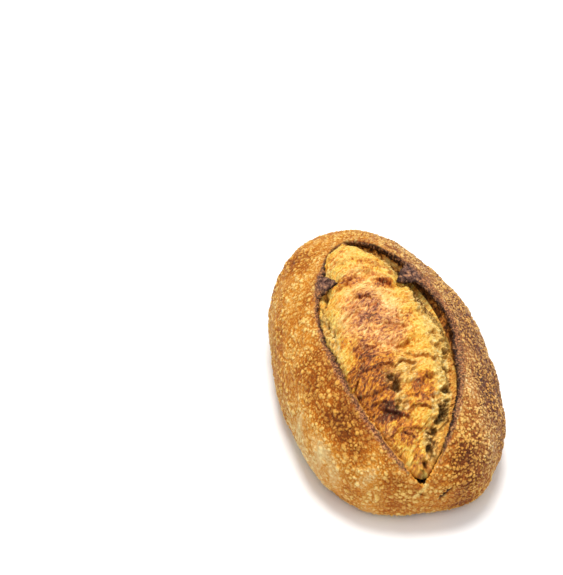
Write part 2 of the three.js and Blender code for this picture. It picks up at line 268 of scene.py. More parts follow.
# ---- The crust ----
def crust_profile(angle):
    """The rings that the crust's surface runs through, from its hidden floor under the bloom, up the inner
    wall, over the lip and the shoulder, and down to the base."""
    edge, outline = slash_edge(angle), outline_point(angle)
    outward = outline - edge
    span = np.linalg.norm(outward, axis=-1)
    outward = outward / span[:, None]
    rise, crease, undercut = (lip_measure(name, angle) for name in ("rise", "crease", "undercut"))
    reach = lip_reach(angle)
    lift = tongues(angle)[1]
    room = np.minimum(1, span / LIP_OUT / 2)

    def lip_ring(out, offset):
        return on_dome(edge + outward * (out * room)[:, None], offset)

    rings = [
        lip_ring(undercut, -crease),
        lip_ring(undercut * 0.9, -crease * 0.5),
        lip_ring(0.8 - reach * 0.3, rise - LIP_THICKNESS * 1.5),
        lip_ring(-reach, rise - LIP_THICKNESS * 0.7 + lift),
        lip_ring(0.5 - reach, rise - LIP_THICKNESS * 0.1 + lift),
        lip_ring(2 - reach * 0.5, rise + lift * 0.5),
    ]
    centre = np.stack([mix(SLASH_MIDDLE, edge[:, 0], 0.93), slash_axis(edge[:, 0])], -1)
    crease_ring = rings[0]
    floor = np.concatenate([mix(crease_ring[:, :2], centre, 0.12), crease_ring[:, 2:] - 10], -1)
    rings.insert(0, floor)

    for n in range(SHOULDER_RINGS):
        share = n / SHOULDER_RINGS
        start = LIP_OUT * room / span
        place = mix(edge, outline, mix(start, 1, math.sin(share * math.pi / 2))[:, None])
        faded = np.exp(-((np.linalg.norm(place - edge, axis=-1) / LIP_FADE) ** 2))
        rings.append(on_dome(place, rise * faded * min(1, (1 - share) * 3)))

    def level_ring(plan, height):
        return np.concatenate([plan, np.full((len(angle), 1), height)], -1)

    for n in range(SIDE_RINGS):
        turn = n / (SIDE_RINGS - 1) * math.pi / 2
        plan = outline * mix(BASE, 1, math.cos(turn))
        rings.append(level_ring(plan, CROWN * EQUATOR * (1 - math.sin(turn))))
    for share in BASE_RINGS:
        rings.append(level_ring(outline * BASE * share, 0.0))
    return np.array(rings)


def refine(rings, steps):
    """Smooth rings through the given ones, each span cut into its number of steps."""
    first, last = 2 * rings[0] - rings[1], 2 * rings[-1] - rings[-2]
    path = np.concatenate([first[None], rings, last[None]])
    fine = []
    for n, count in enumerate(steps):
        a, b, c, d = path[n : n + 4]
        for t in np.arange(count) / count:
            tangent_b, tangent_c = (c - a) / 2, (d - b) / 2
            fine.append(
                (2 * t**3 - 3 * t**2 + 1) * b
                + (t**3 - 2 * t**2 + t) * tangent_b
                + (3 * t**2 - 2 * t**3) * c
                + (t**3 - t**2) * tangent_c
            )
    fine.append(rings[-1])
    return np.array(fine)


def grid_normals(grid, closed):
    """Normals of a grid of points, rings outward along the first axis and anticlockwise along the second."""
    if closed:
        around = np.roll(grid, -1, 1) - np.roll(grid, 1, 1)
    else:
        around = np.gradient(grid, axis=1)
    normal = np.cross(np.gradient(grid, axis=0), around)
    return normal / np.maximum(np.linalg.norm(normal, axis=-1, keepdims=True), 1e-9)


def slash_distance(x, y):
    """Signed distance in plan from the slash's edge: positive over the crust, negative over the bloom."""
    edge = slash_edge(np.linspace(0, 2 * math.pi, 181))
    best = np.full(x.shape, 1e9)
    for a, b in zip(edge[:-1], edge[1:]):
        along = b - a
        t = clamp01(((x - a[0]) * along[0] + (y - a[1]) * along[1]) / (along @ along))
        best = np.minimum(best, np.hypot(x - a[0] - t * along[0], y - a[1] - t * along[1]))
    angle = np.arccos(np.clip((x - SLASH_MIDDLE) / SLASH_HALF_LENGTH, -1, 1))
    half = (slash_edge(angle) - slash_edge(-angle))[..., 1] / 2
    return np.where(np.abs(y - slash_axis(x)) < half, -best, best)


def patches(x, y, places):
    """The sum of several soft oval patches at each place: x, y, radii along X and Y, strength."""
    total = np.zeros(x.shape)
    for px, py, rx, ry, strength in places:
        away = np.hypot((x - px) / rx, (y - py) / ry)
        total = total + strength * ramp(away, 1.35, 0.55)
    return total


BAND = [  # width of the dark band along the lip, by the edge's angle
    (-math.pi, 0), (-2.5, 0.2), (-2.2, 1.4), (-1.3, 2.2), (-0.8, 3.4), (-0.3, 2.6), (0, 0.4), (0.4, 2),
    (0.7, 3.4), (1.5, 4.2), (2.1, 3.4), (2.35, 0.2), (math.pi, 0),
]
BURNT_EDGE = [  # how burnt the lip's edge is, by its angle
    (-math.pi, 0.4), (-2.5, 0.9), (-1.2, 0.9), (-0.9, 0.1), (0.3, 0), (0.5, 1), (2.6, 1), (math.pi, 0.4),
]
GILT_EDGE = [(-1.4, 0), (-0.95, 0.9), (0.35, 0.9), (0.55, 0)]  # the lips' edges stay golden near the tip
DARK_CRUST = [  # where the crust is baked darkest, in plan
    (-82, -36, 20, 9, 0.16), (44, -52, 34, 12, 0.18), (82, -44, 20, 14, 0.2), (66, 54, 34, 14, 0.16),
    (108, 26, 16, 20, 0.1), (10, 54, 34, 10, 0.16), (-44, 50, 26, 8, 0.1), (69, 47, 12, 7, 0.22),
    (110, 18, 7, 9, 0.2), (52, -38, 16, 6, 0.1),
]
PALE_CRUST = [  # where it stayed pale
    (74, -72, 48, 17, 0.34), (100, -52, 20, 18, 0.28), (-40, -52, 40, 14, 0.1), (-92, 16, 34, 30, 0.12),
    (104, 46, 14, 10, 0.12),
]

DENTS = [(-66, 60, 40, 30, 3.3), (84, 62, 34, 24, 3.2)]  # where the ear's flank lies further in, in plan
CRACKS = {  # two short cracks on the near end: their ends as y and z, and their depth
    "pale": ((-13, 31), (-6, 42), 0.5),
    "dark": ((3.5, 28), (9, 37), 1.1),
}
CRACK_WANDER = [(0.3, 2.5, 34)]
SWELLS = [(1.9, 34, 21), (0.8, 13, 22)]  # layers of noise: amount, size, seed
ROUGHNESS = [(0.32, 6, 23), (0.16, 2.6, 24)]
WRINKLES = [(0.5, (5, 3, 5), 25), (0.25, 1.8, 26)]  # of the tongues
TONE = 0.38  # how dark the crust is baked, from 0 to 1, where no patch says otherwise
TONE_DRIFT = [(0.11, 26, 31), (0.13, 9, 32)]
BLISTER_HEIGHT = 1.1


def crack_share(name, form):
    """How near a place is to one of the short cracks, from 0 to 1."""
    a, b = np.array(CRACKS[name][:2])
    place = form[..., 1:] - a
    along = clamp01(place @ (b - a) / ((b - a) @ (b - a)))
    wander = layered(np.moveaxis(form[..., 1:], -1, 0), CRACK_WANDER)
    away = np.linalg.norm(place - along[..., None] * (b - a), axis=-1) + wander
    return ramp(away, 1.8, 0.8) * (form[..., 0] > LENGTH / 3)


def build_crust():
    """The plain form, the form with its relief, and the values that its material reads."""
    angle = np.arange(AROUND) * 2 * math.pi / AROUND
    form = refine(crust_profile(angle), RING_STEPS)
    ends = np.cumsum([0] + RING_STEPS)
    crease, under_lip, lip, lip_top, shoulder, base_start = ends[[1, 3, 4, 5, 7, -3]]
    index = np.arange(len(form))[:, None]
    base = form.copy()

    x, y, z = np.moveaxis(form, -1, 0)
    normal = grid_normals(form, True)
    swell = layered((x, y, z), SWELLS) - patches(x, y, DENTS)
    weight = clamp01((index - shoulder) / 18) * clamp01(z / 14)
    form = form + normal * (swell * weight)[..., None]

    x, y, z = np.moveaxis(form, -1, 0)
    from_slash = slash_distance(x, y)
    rough = layered((x, y, z), ROUGHNESS) * clamp01((index - crease) / 4) * clamp01(z / 3 + 0.15)
    tongue = ramp(tongues(angle)[0], 5, 10) * ramp(index, under_lip, lip) * ramp(from_slash, 2, -2)
    relief = rough + layered((x, y, z), WRINKLES) * tongue
    crack = {name: crack_share(name, form) for name in CRACKS}
    for name, (_, _, depth) in CRACKS.items():
        relief = relief - depth * crack[name]
    form = form + normal * relief[..., None]
    form[..., 2] = np.maximum(form[..., 2], 0)

    turn = turn_from(angle, 0)
    upper = ramp(z, 40, 55)
    lip_front = ramp(index, under_lip, lip)
    sole = ramp(index, base_start - 3, base_start) * np.ones_like(x)
    tone = TONE + patches(x, y, DARK_CRUST) - patches(x, y, PALE_CRUST) * ramp(z, 74, 44)
    tone = tone + layered((x, y, z), TONE_DRIFT) - 0.3 * ramp(z, 12, 0) * (index < base_start)
    values = {
        "tone": tone,
        "cool": ramp(y, 5, 45) * ramp(z, 20, 50) + 0.25 * ramp(from_slash, 9, 1) * upper,
        "band": np.clip(np.interp(turn, *zip(*BAND)) - from_slash - 9 * (1 - upper), -9, 9),
        "tongue": tongue,
        "burnt": lip_front * ramp(index, lip_top + 4, lip + 2) * np.interp(turn, *zip(*BURNT_EDGE)),
        "gilt": lip_front * ramp(index, lip_top + 1, lip) * np.interp(turn, *zip(*GILT_EDGE)),
        "pale_crack": crack["pale"],
        "dark_crack": crack["dark"],
        "wall": ramp(index, lip, under_lip) * np.ones_like(x),
        "depth": ramp(index, lip, crease + 1) * np.ones_like(x),
        "far": ramp(turn, 2.0, 2.3) * np.ones_like(x),
        "sole": sole,
        "blistered": 1 - sole,
    }
    return base, form, values


# ---- The bloom ----
def bloom_offset(angle, x, share, width):
    from_smooth, from_ear = share * width, (1 - share) * width
    smooth_bank = np.exp(-((from_smooth / BLOOM_BANK["smooth"]) ** 1.3)) * (1 - share)
    bank = mix(BLOOM_BANK["ear"], BLOOM_BANK["far"], ramp(x, -10, -40))
    ear_bank = np.exp(-((from_ear / bank) ** 1.6)) * share
    smooth_depth = lip_measure("crease", -angle) * (1 - BLOOM_FILLS["smooth"])
    ear_depth = lip_measure("crease", angle) * (1 - BLOOM_FILLS["near"] * ramp(x, 40, 90))
    swell = np.sin(math.pi * share**BLOOM_CREST) * np.sin(angle) ** 0.7
    sink = NEAR_SINK["depth"] * ramp(x, NEAR_SINK["from"], NEAR_SINK["to"]) * clamp01(4 * share * (1 - share))
    return BLOOM_RISE * swell - smooth_depth * smooth_bank - ear_depth * ear_bank - sink


PLATE_BEND = [(4, 12, 13)]  # layers of noise: amount, size, seed
FOLD_WANDER = [(4, 14, 11)]
BLOOM_WAVES = [(1.2, (13, 20), 3), (0.8, (6, 10), 5)]


def plates(x, y):
    """Broken plates that lean out over one another towards +X."""
    bend = layered((x, y), PLATE_BEND)
    _, _, past, own = cells((x + bend) / PLATE["length"], (y - bend) / PLATE["width"], 15)
    return PLATE["step"] * (own - 0.5) + PLATE["lean"] * past


def bloom_folds(x, y):
    lift = layered((x, y), BLOOM_WAVES)
    wander = layered((x, y), FOLD_WANDER)
    for fold_x, slant, height, width, start, end in FOLDS:
        past = (x - fold_x - slant * y + wander) / width
        lengthwise = smooth(clamp01((y - start) / 8)) * smooth(clamp01((end - y) / 8))
        lift = lift + height * lengthwise * np.exp(-((past * np.where(past > 0, 3.2, 0.9)) ** 2))
    for px, py, rx, ry, depth in HOLLOWS:
        away = np.hypot((x - px) / rx, (y - py) / ry)
        lift = lift - depth * np.exp(-(away**2.5))
    return lift


TOAST = [  # where the bloom is toasted: x, y, radii along X and Y, strength
    (4, -14, 14, 12, 0.28), (34, -14, 28, 22, 0.25), (62, -28, 26, 16, 0.38), (-14, 4, 4, 7, 0.36),
    (-22, -16, 5, 11, 0.3), (-36, 0, 8, 12, 0.2), (71, 6, 9, 9, 0.36), (79, -19, 5, 11, 0.34),
    (92, -20, 12, 12, 0.25), (80, -8, 20, 14, 0.2), (66, 22, 30, 8, -0.2), (110, -7, 7, 7, 0.3),
]
ROSY = [(14, -10, 34, 20, 0.9), (-30, -6, 14, 14, 0.4)]  # where its skin is dull and rosy
CRUMB = [  # where pale crumb shows
    (-42, 19, 16, 6, 0.9), (0, 26, 26, 6, 1), (44, 24, 36, 8, 1), (12, -39, 30, 4, 0.8),
    (60, -3, 8, 7, 1), (76, -12, 6, 5, 0.7), (74, 17, 14, 7, 0.9), (88, 9, 12, 5, 0.9),
    (104, -2, 8, 4, 0.9),
]
PAINTED_SHADOWS = [  # painted shadow: olive-darkened crumb at the foot of the ear and in a few hollows, where shade falls
    (-60, 18, 8, 5, 0.7), (-44, 26, 10, 4, 0.7), (-4, 28, 14, 7, 1), (18, 33, 14, 4, 0.8),
    (44, 33, 16, 3, 0.5), (70, 24, 7, 4, 0.7), (86, 14, 9, 5, 0.9), (101, 2, 8, 5, 0.9),
    (110, -7, 5, 5, 0.4), (62, -14, 8, 5, 0.6),
]
PITS = [  # deep holes: x, y, radii along X and Y, depth
    (67, -13, 4.6, 3, 6), (63, -15.5, 2.6, 2.2, 4), (79, -16, 1.4, 1.2, 3), (73, 19, 2, 4.5, 4),
    (80, 17, 1.6, 3, 3), (86, 12.5, 3.6, 3, 6), (90, 9, 2.4, 3.6, 5), (95, 4, 2.2, 3, 4),
    (103, -1.5, 2.6, 2.2, 5), (109, -6, 2, 1.8, 4), (112, -9, 2.8, 2.8, 3), (-22, -33, 4.4, 1.8, 4),
    (-14, -35, 2.6, 1.5, 3), (2, -38.5, 2.4, 1.2, 2.5), (14, -38.5, 1.8, 1.2, 2), (-6, 25, 5, 3.4, 5),
    (6, 27.5, 4, 2.4, 4), (17, 29, 3, 1.8, 3), (31, 30, 2.4, 2.2, 3), (45, 28, 1.6, 3, 3),
    (58, 24, 1.6, 3.4, 3), (-50, 20, 4.6, 2, 4.5), (-40, 24, 4, 1.8, 4), (-31, 27, 3, 1.8, 3.5),
]
SLITS = [  # narrow cracks: x, y, turn, half length, half width, depth
    (57, -36, -0.85, 5.5, 0.9, 3.2),
    (96, 1, 1.2, 4, 0.8, 2.5),
]
# The edges of torn sheets: both ends in plan, how far the middle bows to -X, the drop, and the sheet's reach.
TEARS = [
    ((-17, -26), (-25, -10), 0.0, 2.0, 8), ((-5, -17), (1, -8), 1.0, 2.4, 7),
    ((-19, -1), (-11, 10), 1.5, 2.4, 6), ((-27, -13), (-27, -1), 1.0, 1.4, 5),
    ((-41, -5), (-34, 5), 1.0, 1.2, 5), ((-46, -17), (-47, -1), -1.0, 1.2, 5),
    ((17, -1), (20, 10), 0.5, 1.4, 5), ((23, -7), (28, 6), 1.5, 1.6, 6), ((41, -6), (39, 5), 1.0, 1.8, 6),
    ((12, -30), (8, -18), 1.0, 1.4, 6), ((36, -30), (38, -18), 1.5, 1.6, 6),
    ((53, -19), (54, -11), 1.5, 2.0, 6), ((56, -11), (54, 4), 3.0, 3.4, 11),
    ((46, -1), (54, 17), 1.0, 2.2, 6), ((73, -29), (76, -21), 2.0, 2.2, 6),
    ((77, -25), (85, -10), -0.5, 2.8, 8), ((81, -8), (84, 6), 2.0, 2.6, 7),
    ((67, 4), (66, 15), 1.5, 1.6, 6), ((92, -18), (96, -8), 1.0, 1.4, 5),
]

TEAR_RAGS = [(1.5, 5, 81), (1.1, 2.2, 82)]  # layers of noise: amount, size, seed
PIT_RAGS = [(0.5, 3.4, 83), (0.35, 1.5, 84)]
# Size, stretch, height, seed:
SKIN = [(6, 2, 0.6, 63), (3.2, 2, 0.8, 64), (1.8, 1.8, 1.0, 65), (1.1, 1.5, 0.7, 75)]
STRINGS = [(4.6, 3, 1.3, 66), (2.4, 2.6, 1.3, 67), (1.3, 2, 0.7, 68)]
FLAKES = [(6.5, 0.9, 77), (3.4, 0.6, 85)]  # size, height, seed


def tears(x, y):
    """Lift of the torn sheets, and how near their broken edges are, from 0 to 1."""
    lift, edge = np.zeros(x.shape), np.zeros(x.shape)
    ragged = layered((x, y), TEAR_RAGS)
    for (ax, ay), (bx, by), bow, drop, reach in TEARS:
        length = math.hypot(bx - ax, by - ay)
        along = ((x - ax) * (bx - ax) + (y - ay) * (by - ay)) / length**2 * 2 - 1
        past = ((x - ax) * (by - ay) - (y - ay) * (bx - ax)) / length + bow * (1 - along**2) + ragged
        ends = ramp(np.abs(along), 1.3, 0.8)
        behind = np.exp(-((np.minimum(past, 0) / reach) ** 2))
        lift = lift + drop * ends * behind * ramp(past, 0.8, -0.3)
        edge = np.maximum(edge, ends * ramp(np.abs(past - 0.3), 0.9, 0.2) * min(1, drop / 2.4))
    return lift, edge


def pits(x, y):
    """Depth of the deep holes, and how far into one a place is, from 0 to 1."""
    sink, inside = np.zeros(x.shape), np.zeros(x.shape)
    ragged = layered((x, y), PIT_RAGS)
    for px, py, rx, ry, depth in PITS:
        share = ramp(np.hypot((x - px) / rx, (y - py) / ry) + ragged, 1.25, 0.4)
        sink, inside = np.maximum(sink, depth * share), np.maximum(inside, share)
    for px, py, turn, half_length, half_width, depth in SLITS:
        along = (x - px) * math.cos(turn) + (y - py) * math.sin(turn)
        aside = (y - py) * math.cos(turn) - (x - px) * math.sin(turn)
        share = ramp(np.hypot(along / half_length, aside / half_width) + ragged * 0.5, 1.3, 0.4)
        sink, inside = np.maximum(sink, depth * share), np.maximum(inside, share)
    return sink, inside


def skin(u, v):
    """Crinkled skin, which bulges between sharp creases: its height, and how near a crease is."""
    height, crease = np.zeros(u.shape), np.zeros(u.shape)
    for size, stretch, amount, seed in SKIN:
        value = np.abs(noise(u / size, v / (size * stretch), 0.5, seed))
        height = height + amount * (value**0.7 - 0.4)
        crease = np.maximum(crease, ramp(value, 0.1, 0.02) * min(1, 0.6 * amount))
    return height, crease * ramp(noise(u / 2.4, v / 3, 0.5, 76), -0.2, 0.4)


def flakes(u, v):
    """Thin torn sheets that overlap like shingles, each broken off short: their height, and how near a broken
    edge a place is."""
    height, edge = np.zeros(u.shape), np.zeros(u.shape)
    for size, amount, seed in FLAKES:
        phase = u / size + 1.6 * noise(u / size / 2.2, v / size / 2.6, 0.5, seed)
        phase = phase + 0.5 * noise(u / size / 0.7, v / size / 1.1, 0.5, seed + 1)
        share = phase - np.floor(phase)
        weight = ramp(noise(u / size / 1.2, v / size / 1.6, 0.5, seed + 2), -0.25, 0.35)
        height = height + amount * weight * (share * ramp(share, 1, 0.88) - 0.4)
        edge = np.maximum(edge, weight * ramp(np.abs(share - 0.97), 0.12, 0.02))
    return height, edge


def strings(u, v):
    """Stretched strings of crumb with hollows between: their height, and how deep in a hollow a place is."""
    height = np.zeros(u.shape)
    for size, stretch, amount, seed in STRINGS:
        string = np.abs(noise(u / size, v / (size * stretch), 0.5, seed)) ** 0.8
        height = height + amount * (0.6 - 1.6 * string)
    nearest, second, _, own = cells(u / 3.2, v / 6, 71)
    film = ramp(second - nearest, 0.36, 0.04)
    hollow = (1 - film) * ramp(own, 0.35, 0.8)
    return height - 2.4 * hollow, hollow


# The bloom's pattern is drawn on bent places, so that no edge runs straight. Layers of noise:
SWAY = [(3.2, 11, 55), (0.9, 4.5, 56)]  # the bend along X
SWING = [(3.2, 11, 57), (0.9, 4.5, 58)]  # the bend along Y
RIPPLE = [(0.5, 2.2, 59)]
FRAY = [(0.45, 6, 51), (0.25, 2.6, 53)]
TOAST_DRIFT = [(0.16, (8, 11), 52)]
GRAIN = [(0.25, 1.1, 69)]
FIBRES = [(0.35, (1.8, 2.6), 88)]
STRAND_FRAY = [(0.7, 4, 87)]
TIP_FILL = {"from": 102, "to": 110, "height": 2.4}  # crumb that fills the slash's tip


def build_bloom():
    """The bloom's form, the bent places that its pattern is drawn on, and the values its material reads."""
    angle = np.arccos(np.linspace(0.9995, -0.9995, BLOOM_ROWS))[:, None]
    share = np.linspace(0, 1, BLOOM_COLUMNS)[None, :]
    flat = angle[:, 0]
    ear, smooth_side = crust_profile(flat)[1], crust_profile(-flat)[1]
    x = mix(smooth_side[:, :1], ear[:, :1], share)
    y = mix(smooth_side[:, 1:2], ear[:, 1:2], share)
    width = np.linalg.norm((ear - smooth_side)[:, :2], axis=-1)[:, None]
    edge_fade = np.minimum(1, 4 * width * share * (1 - share) / 6)

    def covered(turn):
        """How much of the bloom's width the lip hides."""
        return (lip_measure("undercut", turn) + lip_reach(turn))[:, None]

    from_ear = (1 - share) * width - covered(flat)
    from_smooth = share * width - covered(-flat)

    sway, swing, fray = (layered((x, y), layers) for layers in (SWAY, SWING, FRAY))
    crumb = ramp(patches(x + sway, y + swing * 0.5, CRUMB) + fray, 0.3, 0.75)
    toast = patches(x + sway, y + swing, TOAST) + layered((x, y), TOAST_DRIFT)

    u = x + 0.3 * y + 0.8 * sway + layered((x, y), RIPPLE)
    v = y + 0.8 * swing
    skin_height, crease = skin(u, v)
    flake_height, flake_edge = flakes(u, v)
    string_height, hollow = strings(u, v)
    tear_lift, tear_edge = tears(x, y)
    pit_depth, in_pit = pits(x, y)

    surface = mix(skin_height + flake_height, string_height, crumb)
    surface = surface + layered((x, y), GRAIN) + layered((u, v), FIBRES)
    relief = bloom_folds(x, y) + plates(x, y) + surface + tear_lift - pit_depth
    # A strand of crumb clings to each lip near the slash's tip.
    frayed = layered((x, y), STRAND_FRAY)
    ear_strand = ramp(from_ear + frayed, 1, 0.3) * ramp(x, 34, 52)
    smooth_strand = ramp(from_smooth + frayed, 1.6, 0.8) * ramp(x, 84, 98)
    strand = np.maximum(ear_strand, smooth_strand) * ramp(x, 108, 102)
    offset = bloom_offset(angle, x, share, width) + edge_fade * relief + (0.6 + frayed) * strand
    offset = offset + TIP_FILL["height"] * ramp(x, TIP_FILL["from"], TIP_FILL["to"])
    form = on_dome(np.stack([x, y], -1), offset)

    values = {
        "strand": strand,
        "toast": toast,
        "crumb": crumb,
        "crease": np.maximum(crease, 0.7 * flake_edge) * (1 - crumb),
        "tear": tear_edge,
        "hollow": hollow * crumb,
        "cavity": relief - blurred(relief, 2),
        "raised": relief - blurred(relief, 7),
        "steep": np.hypot(np.gradient(relief, axis=0) / 0.4, np.gradient(relief, axis=1) / 0.42),
        "raised_wide": relief - blurred(relief, 26),
        "pit": in_pit,
        "foot": ramp((1 - share) * width, 9, 3) * ramp(x, -22, -36),
        "painted_shadow": clamp01(patches(x + sway, y + swing * 0.5, PAINTED_SHADOWS)),
        "rosy": clamp01(patches(x + sway, y + swing, ROSY) + fray),
    }

    # The edges are tucked into the crust, out of sight.
    def tucked(side, sign, out, down):
        edge = form[:, side].copy()
        edge[:, 1] += sign * out
        edge[:, 2] -= down
        return edge[:, None]

    left = [tucked(0, -1, 1.5, 5), tucked(0, -1, 1, 1.5)]
    right = [tucked(-1, 1, 1, 1.5), tucked(-1, 1, 1.5, 5)]
    form = np.concatenate([*left, form, *right], 1)
    values = {name: np.pad(value, ((0, 0), (2, 2)), mode="edge") for name, value in values.items()}
    flow = np.stack(np.broadcast_arrays(u, v / 2.2, 0 * u), -1)
    return form, np.pad(flow, ((0, 0), (2, 2), (0, 0)), mode="edge"), values


def blurred(field, reach):
    """A field on a grid, averaged over about this many steps each way."""
    for axis in (0, 1):
        for _ in range(2):
            pad = [(0, 0), (0, 0)]
            pad[axis] = (reach + 1, reach)
            total = np.cumsum(np.pad(field, pad, mode="edge"), axis=axis)
            count = field.shape[axis]
            high = np.take(total, np.arange(2 * reach + 1, 2 * reach + 1 + count), axis=axis)
            low = np.take(total, np.arange(0, count), axis=axis)
            field = (high - low) / (2 * reach + 1)
    return field


# ---- Meshes ----
def add_object(name, data):
    thing = bpy.data.objects.new(name, data)
    bpy.context.scene.collection.objects.link(thing)
    return thing


def make_piece(name, points, faces, values, rest, shift):
    mesh = bpy.data.meshes.new(name)
    mesh.from_pydata(((points - shift) * MM).tolist(), [], faces)
    for key, value in values.items():
        attribute = mesh.attributes.new(key, "FLOAT", "POINT")
        attribute.data.foreach_set("value", value.astype(np.float32))
    attribute = mesh.attributes.new("rest", "FLOAT_VECTOR", "POINT")
    attribute.data.foreach_set("vector", rest.astype(np.float32).ravel())
    mesh.shade_smooth()
    return add_object(name, mesh)


def crust_faces(rings, count):
    n = np.arange(count)
    after = (n + 1) % count
    faces = []
    for r in range(rings - 1):
        a, b = r * count, (r + 1) * count
        faces.append(np.stack([a + n, b + n, b + after, a + after], -1))
    faces = np.concatenate(faces).tolist()
    top, bottom = rings * count, rings * count + 1
    faces += [(top, i, j) for i, j in zip(n.tolist(), after.tolist())]
    last = (rings - 1) * count
    faces += [(last + i, bottom, last + j) for i, j in zip(n.tolist(), after.tolist())]
    return faces


def crust_piece(shift):
    base, form, values = build_crust()
    rings, count = form.shape[:2]

    def flat(grid):
        """The grid as one list, with one more point for each end's middle."""
        ends = [grid[0].mean(0), grid[-1].mean(0)]
        return np.concatenate([grid.reshape(rings * count, *grid.shape[2:]), np.array(ends)])

    values = {name: flat(value) for name, value in values.items()}
    return make_piece("crust", flat(form), crust_faces(rings, count), values, flat(base), shift)


def bloom_piece(shift):
    form, flow, values = build_bloom()
    rows, columns = form.shape[:2]
    index = np.arange(rows * columns).reshape(rows, columns)
    corners = [index[:-1, :-1], index[:-1, 1:], index[1:, 1:], index[1:, :-1]]
    faces = np.stack(corners, -1).reshape(-1, 4).tolist()
    under = form.mean(1)
    under[:, 2] = form[..., 2].min(1) - 3
    first = rows * columns
    for r in range(rows - 1):
        faces.append((index[r, 0], index[r + 1, 0], first + r + 1, first + r))
        faces.append((index[r + 1, -1], index[r, -1], first + r, first + r + 1))
    for c in range(columns - 1):
        faces.append((index[0, c + 1], index[0, c], first))
        faces.append((index[-1, c], index[-1, c + 1], first + rows - 1))
    points = np.concatenate([form.reshape(-1, 3), under])
    flow = np.concatenate([flow.reshape(-1, 3), flow.mean(1)])
    values = {name: np.concatenate([value.ravel(), value.mean(1)]) for name, value in values.items()}
    return make_piece("bloom", points, [tuple(map(int, face)) for face in faces], values, flow, shift)


# ---- Materials ----
STUDIO = 0.85  # the shades below are as seen in the studio's light, which brightens the surface's own colour


def colour(red, green, blue):
    """A shade as seen, from 0 to 255, as the linear surface colour that nodes take."""
    parts = [c / 255 for c in (red, green, blue)]
    return tuple(STUDIO * (c / 12.92 if c <= 0.04045 else ((c + 0.055) / 1.055) ** 2.4) for c in parts) + (1,)


class Nodes:
    """Adds nodes to a tree. Each input is a plain value or another node's output."""

    def __init__(self, tree):
        self.tree = tree

    def feed(self, node, inputs):
        for name, value in dict(inputs).items():
            if isinstance(value, bpy.types.NodeSocket):
                self.tree.links.new(value, node.inputs[name])
            else:
                node.inputs[name].default_value = value

    def add(self, kind, inputs=(), **settings):
        node = self.tree.nodes.new(kind)
        for name, value in settings.items():
            setattr(node, name, value)
        self.feed(node, inputs)
        return node

    def vector(self, operation, inputs):
        return self.add("ShaderNodeVectorMath", inputs, operation=operation).outputs[0]

    def math(self, operation, *values):
        return self.add("ShaderNodeMath", enumerate(values), operation=operation).outputs[0]

    def plus(self, a, b):
        return self.math("ADD", a, b)

    def less(self, a, b):
        return self.math("SUBTRACT", a, b)

    def times(self, a, b):
        return self.math("MULTIPLY", a, b)

    def higher(self, a, b):
        return self.math("MAXIMUM", a, b)

    def read(self, name, output="Fac"):
        return self.add("ShaderNodeAttribute", attribute_name=name).outputs[output]

    def noise(self, place, size, detail=2.0, roughness=0.5, output="Fac"):
        inputs = {"Vector": place, "Scale": 1 / size, "Detail": detail, "Roughness": roughness}
        return self.add("ShaderNodeTexNoise", inputs).outputs[output]

    def mottle(self, value, place, size, roughness, amount):
        """A value made uneven by a noise."""
        uneven = self.less(self.noise(place, size, 3, roughness), 0.5)
        return self.plus(value, self.times(uneven, amount))

    def threads(self, place, size, detail, roughness):
        """0 along thin wandering lines, and more away from them."""
        return self.math("ABSOLUTE", self.less(self.noise(place, size, detail, roughness), 0.5))

    def step(self, value, low, high, start=0.0, end=1.0):
        inputs = {"Value": value, "From Min": low, "From Max": high, "To Min": start, "To Max": end}
        return self.add("ShaderNodeMapRange", inputs, interpolation_type="SMOOTHSTEP").outputs[0]

    def blend(self, share, a, b, mode="MIX"):
        node = self.add("ShaderNodeMix", {0: share, 6: a, 7: b}, data_type="RGBA", blend_type=mode)
        return node.outputs[2]

    def lay(self, name, over, shade, mode="MIX"):
        """Lays a shade over another by the mesh's attribute of this name."""
        return self.blend(self.read(name), over, shade, mode)

    def colours(self, value, stops):
        node = self.add("ShaderNodeValToRGB", {0: value})
        elements = node.color_ramp.elements
        while len(elements) < len(stops):
            elements.new(0.5)
        for element, (place, shade) in zip(elements, stops):
            element.position = place
            element.color = colour(*shade)
        return node.outputs[0]

    def bump(self, relief, distance):
        inputs = {"Height": relief, "Distance": distance, "Strength": 1.0}
        return self.add("ShaderNodeBump", inputs).outputs[0]


def new_material(name):
    material = bpy.data.materials.new(name)
    material.use_nodes = True
    return material, Nodes(material.node_tree), material.node_tree.nodes["Principled BSDF"]


def blisters(nodes, place):
    """The height of the crust's fermentation blisters, from 0 to 1: scattered large ones among dense small
    ones. The same nodes raise the mesh and colour the crust."""
    drift = nodes.noise(place, 3, output="Color")
    bend = nodes.vector("SUBTRACT", {0: drift, 1: (0.5, 0.5, 0.5)})
    bent = nodes.vector("ADD", {0: place, 1: nodes.vector("SCALE", {0: bend, 3: 1.3})})

    def spots(size, smallest, largest, rarity):
        """Domes one to a cell. Each has a radius of its own, and a share of them, the rarity, is left out."""
        node = nodes.add("ShaderNodeTexVoronoi", {"Vector": bent, "Scale": 1 / size, "Randomness": 0.9})
        own = nodes.add("ShaderNodeSeparateXYZ", {0: node.outputs["Color"]}).outputs
        radius = nodes.step(own[1], 0, 1, smallest, largest)
        dome = nodes.step(nodes.math("DIVIDE", node.outputs["Distance"], radius), 1, 0.5)
        return nodes.times(dome, nodes.step(own[0], rarity, rarity + 0.1))

    across = nodes.add("ShaderNodeSeparateXYZ", {0: place}).outputs[1]
    large = nodes.times(spots(5.0, 0.26, 0.48, 0.3), nodes.step(across, 15, -25, 0.3, 1))
    middle = nodes.times(spots(3.0, 0.36, 0.62, 0.22), 0.9)
    small = nodes.times(spots(1.7, 0.4, 0.7, 0.2), nodes.step(across, 25, -5, 1, 0.5))
    crowd = nodes.step(nodes.noise(place, 12), 0.38, 0.56, 0.6, 1)
    return nodes.times(crowd, nodes.higher(large, nodes.higher(middle, small)))


